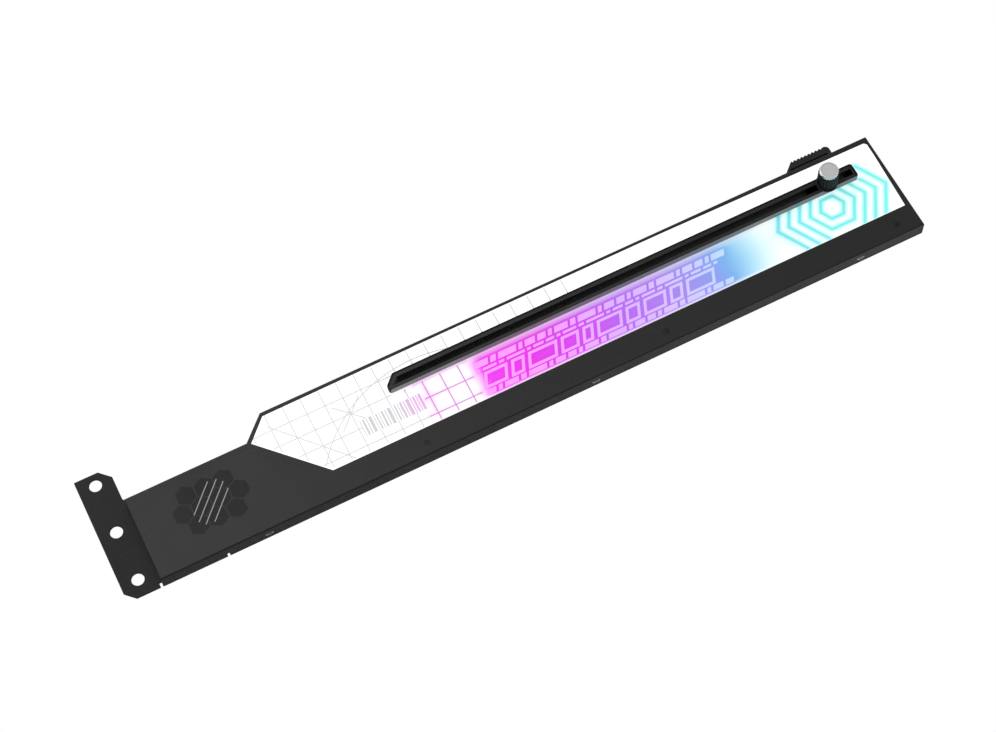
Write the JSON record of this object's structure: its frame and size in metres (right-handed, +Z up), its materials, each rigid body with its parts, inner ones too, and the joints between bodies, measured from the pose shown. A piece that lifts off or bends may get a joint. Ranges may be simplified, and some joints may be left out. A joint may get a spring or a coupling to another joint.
{
  "type": "graphics card support bracket",
  "caption": "Lit support bar with a screw flange, a long slot and a knob-clamped sliding rest with a ribbed rubber pad.",
  "frame": {"origin": "centre of the flange's middle screw hole, on the back face of the back plate", "axes": "+X along the bar towards its free end, +Z up, the lit face looks along -Y"},
  "size_m": [0.3265, 0.0435, 0.0517],
  "materials": {
    "black_steel": "fine matt powder coat",
    "black_cover": "smooth matt black",
    "black_plastic": "satin black",
    "white_panel": "glossy white, lit from within",
    "diffuser": "frosted",
    "clear_guide": "clear acrylic",
    "white_sheet": "white",
    "white_plastic": "white",
    "board": "white solder mask",
    "led_white": "white",
    "led_yellow": "yellow lens",
    "socket_plastic": "black",
    "pin_brass": "bright",
    "plated_steel": "nickel plated",
    "dark_screw": "blackened",
    "black_washer": "black nylon",
    "knob_black": "black anodised",
    "knob_silver": "satin",
    "rubber": "matt",
    "print_grey": "fine print",
    "print_faint": "faint fine print",
    "print_grid": "fine lit print",
    "print_magenta": "lit print",
    "print_violet": "lit print",
    "print_blue": "lit print",
    "print_cyan": "lit print",
    "print_dark": "gloss black print",
    "print_pale": "pale print"
  },
  "bodies": {
    "bar": {"back_plate": "black_steel", "front_cover": "black_cover", "screw_standoffs": "plated_steel", "cover_screws": "dark_screw", "slot_bezel": "black_plastic", "light_panel": "white_panel", "diffuser_sheet": "diffuser", "light_guide": "clear_guide", "reflector_sheet": "white_sheet", "light_tray": "white_plastic", "led_board": "board", "leds": "led_white", "led_lenses": "led_yellow", "lead_socket": "socket_plastic", "socket_pins": "pin_brass", "print_draft_lines": "print_faint", "print_bars": "print_grey", "print_grid_lit": "print_grid", "print_band_magenta": "print_magenta", "print_band_violet": "print_violet", "print_band_blue": "print_blue", "print_rings_cyan": "print_cyan", "cover_honeycomb": "print_dark", "cover_strokes": "print_pale"},
    "carriage": {"clamp_nut": "plated_steel"},
    "rest": {"support_arm": "black_steel", "rubber_pad": "rubber"},
    "washer": {"knob_washer": "black_washer"},
    "knob": {"knob_body": "knob_black", "knob_cap": "knob_silver", "knob_screw": "plated_steel"}
  },
  "joints": [
    {"name": "carriage_slide", "type": "slide", "parent": "bar", "child": "carriage", "axis": [1, 0, 0], "range_m": [-0.178, 0.0087]},
    {"name": "rest_height", "type": "slide", "parent": "carriage", "child": "rest", "axis": [0, 0, 1], "range_m": [-0.006, 0.01]},
    {"name": "knob_turn", "type": "hinge", "parent": "washer", "child": "knob", "pos_m": [0.29525, -0.012, 0.0043], "axis": [0, -1, 0], "range_deg": [0, 1080]},
    {"name": "knob_travel", "type": "slide", "parent": "carriage", "child": "washer", "axis": [0, -1, 0], "range_m": [0, 0.0012]}
  ],
  "couplings": [
    {"joint": "knob_turn", "follows": "knob_travel", "rad_per_m": 15708}
  ]
}
